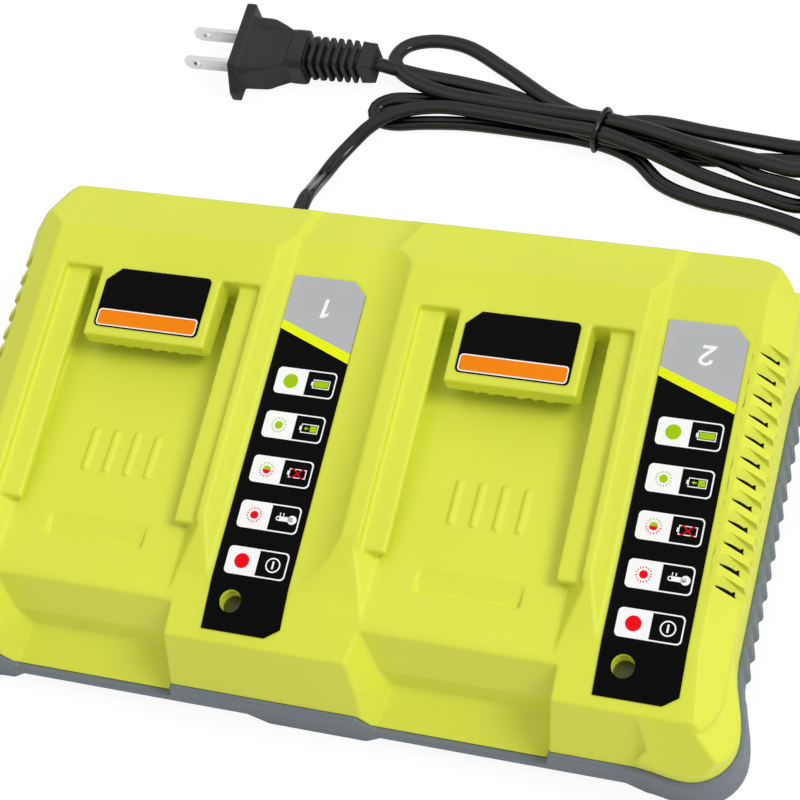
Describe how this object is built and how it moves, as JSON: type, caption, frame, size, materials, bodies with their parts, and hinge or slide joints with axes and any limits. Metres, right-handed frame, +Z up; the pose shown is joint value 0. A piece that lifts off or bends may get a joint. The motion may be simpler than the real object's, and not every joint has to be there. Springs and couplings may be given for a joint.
{
  "type": "power tool battery charger",
  "caption": "Low, wide charger with two slide-in battery bays, sloping ribbed sides, status label strips, a grey base on feet and a mains lead bundled behind it.",
  "frame": {"origin": "centre of the footprint of the charger on the surface it stands on, measured without the mains lead", "axes": "+Z up, -Y towards the open front ends of the battery bays, +X towards the right bay seen from the front"},
  "size_m": [0.3038, 0.2682, 0.0592],
  "materials": {
    "cover_plastic": "fine matte moulded texture, yellow-green",
    "base_plastic": "fine matte moulded texture, mid grey",
    "label_film": "printed film, satin, no lettering",
    "black_plastic": "satin black moulding",
    "light_plastic": "dark tinted light guide",
    "led_body": "white chip body",
    "contact_metal": "tinned copper alloy",
    "board": "solder mask green",
    "ferrite": "matte ferrite",
    "winding_tape": "yellow tape over the windings",
    "capacitor_sleeve": "shrunk sleeve",
    "heat_sink": "plain extruded",
    "copper_winding": "lacquered wire",
    "film_capacitor": "yellow box",
    "fuse_body": "ceramic tube",
    "screw_steel": "dark zinc",
    "rubber": "matte soft rubber",
    "wire": "insulated wire",
    "cord_sheath": "flexible vinyl, satin black",
    "blade_metal": "nickel plated"
  },
  "bodies": {
    "housing": {"top_housing": "cover_plastic", "bottom_housing": "base_plastic", "status_label_left": "label_film", "status_label_right": "label_film", "block_plate_left": "label_film", "block_plate_right": "label_film", "light_pipe_left": "light_plastic", "light_pipe_right": "light_plastic", "led_left": "led_body", "led_right": "led_body", "terminal_holder_left": "black_plastic", "terminal_holder_right": "black_plastic", "contacts_left": "contact_metal", "contacts_right": "contact_metal", "main_board": "board", "transformer_core_left": "ferrite", "transformer_core_right": "ferrite", "transformer_coil_left": "winding_tape", "transformer_coil_right": "winding_tape", "bulk_capacitors": "capacitor_sleeve", "output_capacitors": "capacitor_sleeve", "heat_sink_left": "heat_sink", "heat_sink_right": "heat_sink", "power_transistors": "black_plastic", "line_choke": "copper_winding", "line_capacitor": "film_capacitor", "fuse": "fuse_body", "rectifier": "black_plastic", "fan_frame": "black_plastic", "housing_screws": "screw_steel", "board_screws": "screw_steel", "rubber_feet": "rubber", "cord_grommet": "cord_sheath", "mains_leads": "wire", "power_cord": "cord_sheath", "cord_hank": "cord_sheath", "cord_tie": "cord_sheath", "plug_body": "cord_sheath", "plug_relief": "cord_sheath", "plug_blades": "blade_metal"},
    "fan_rotor": {"fan_rotor": "black_plastic"}
  },
  "joints": [
    {"name": "fan_spin", "type": "hinge", "parent": "housing", "child": "fan_rotor", "pos_m": [0.1084, -0.004, 0.0251], "axis": [1, 0, 0], "continuous": true}
  ]
}
